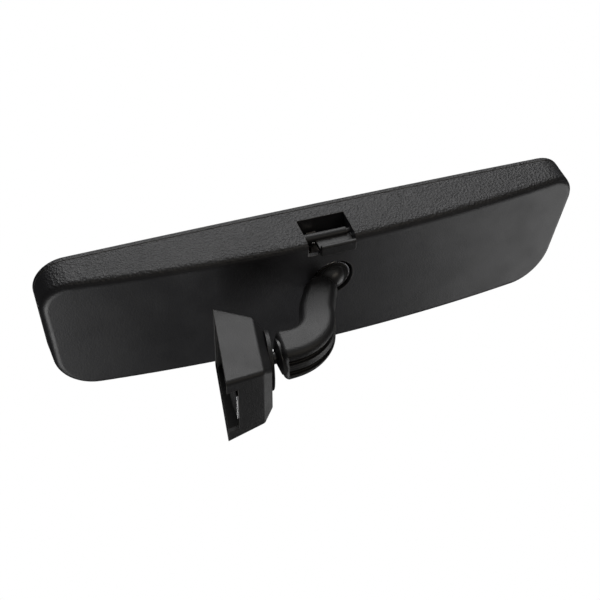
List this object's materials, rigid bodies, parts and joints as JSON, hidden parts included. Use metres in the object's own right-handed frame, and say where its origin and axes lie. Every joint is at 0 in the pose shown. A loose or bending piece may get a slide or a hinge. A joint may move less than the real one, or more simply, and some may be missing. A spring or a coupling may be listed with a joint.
{
  "type": "interior rearview mirror",
  "caption": "Interior rearview mirror: long crowned head with prism glass and day-night lever, elbow arm on ball joints, wedge foot that slides on a windshield button.",
  "frame": {"origin": "middle of the foot's seat on the windshield button", "axes": "+X runs along the mirror head towards its plain end, +Y points out of the back of the head, towards the windshield, +Z towards the head's upper edge as in use; the lever is on the -Z edge"},
  "size_m": [0.245, 0.0819, 0.0652],
  "materials": {
    "case_plastic": "fine moulded grain",
    "black_plastic": "fine moulded grain",
    "grey_acetal": "smooth, semi-gloss",
    "dark_acetal": "smooth, semi-gloss",
    "cast_zinc": "black coated die casting",
    "spring_steel": "bright spring temper",
    "plated_steel": "zinc plated",
    "mirror_glass": "silvered prism glass",
    "foam": "closed cell foam tape",
    "backing_board": "rolled sheet",
    "rubber": "moulded"
  },
  "bodies": {
    "foot": {"foot_cover": "black_plastic", "foot_base": "cast_zinc", "spring_clip": "spring_steel", "foot_socket": "cast_zinc", "foot_collar": "black_plastic", "foot_disc_springs": "spring_steel", "foot_screws": "plated_steel"},
    "foot_cup": {"foot_pressure_cup": "grey_acetal"},
    "foot_liner": {"foot_socket_liner": "dark_acetal"},
    "arm": {"arm_cover_lower": "black_plastic", "arm_cover_upper": "black_plastic", "arm_core": "plated_steel", "foot_ball_stud": "dark_acetal", "head_ball_stud": "dark_acetal"},
    "head_liner": {"head_socket_liner": "dark_acetal"},
    "head_cup": {"head_pressure_cup": "grey_acetal"},
    "bracket": {"pivot_bracket": "plated_steel", "head_socket": "cast_zinc", "retaining_ring": "spring_steel", "head_disc_springs": "spring_steel", "socket_screws": "plated_steel", "pivot_rod": "plated_steel"},
    "head": {"rear_housing": "case_plastic", "front_bezel": "case_plastic", "mirror_glass": "mirror_glass", "glass_pad": "foam", "backing_plate": "backing_board", "lever_pin": "dark_acetal", "toggle_spring": "spring_steel", "bumper_pads": "rubber"},
    "lever": {"day_night_lever": "black_plastic"}
  },
  "joints": [
    {"name": "foot_swing", "type": "hinge", "parent": "foot", "child": "foot_cup", "pos_m": [0.01767, -0.00133, -0.00039], "axis": [-0.0305, -0.1151, -0.9929], "range_deg": [-10, 10]},
    {"name": "foot_tilt", "type": "hinge", "parent": "foot_cup", "child": "foot_liner", "pos_m": [0.01767, -0.00133, -0.00039], "axis": [0.2124, -0.9714, 0.1061], "range_deg": [-10, 10]},
    {"name": "foot_spin", "type": "hinge", "parent": "foot_liner", "child": "arm", "pos_m": [0.01767, -0.00133, -0.00039], "axis": [0.9915, 0.078, -0.1045], "range_deg": [-15, 15]},
    {"name": "head_pan", "type": "hinge", "parent": "arm", "child": "head_liner", "pos_m": [0.06249, -0.03618, -0.00305], "axis": [0, 0, 1], "range_deg": [-6, 20]},
    {"name": "head_tilt", "type": "hinge", "parent": "head_liner", "child": "head_cup", "pos_m": [0.06249, -0.03618, -0.00305], "axis": [1, 0, 0], "range_deg": [-10, 10]},
    {"name": "head_roll", "type": "hinge", "parent": "head_cup", "child": "bracket", "pos_m": [0.06249, -0.03618, -0.00305], "axis": [0, 1, 0], "continuous": true},
    {"name": "day_night_flip", "type": "hinge", "parent": "bracket", "child": "head", "pos_m": [0.06129, -0.04568, 0.03185], "axis": [1, 0, 0], "range_deg": [-5, 0]},
    {"name": "lever_turn", "type": "hinge", "parent": "head", "child": "lever", "pos_m": [0.06129, -0.04188, -0.02195], "axis": [1, 0, 0], "range_deg": [-50, 0]}
  ],
  "couplings": [
    {"joint": "lever_turn", "follows": "day_night_flip", "ratio": 10}
  ]
}
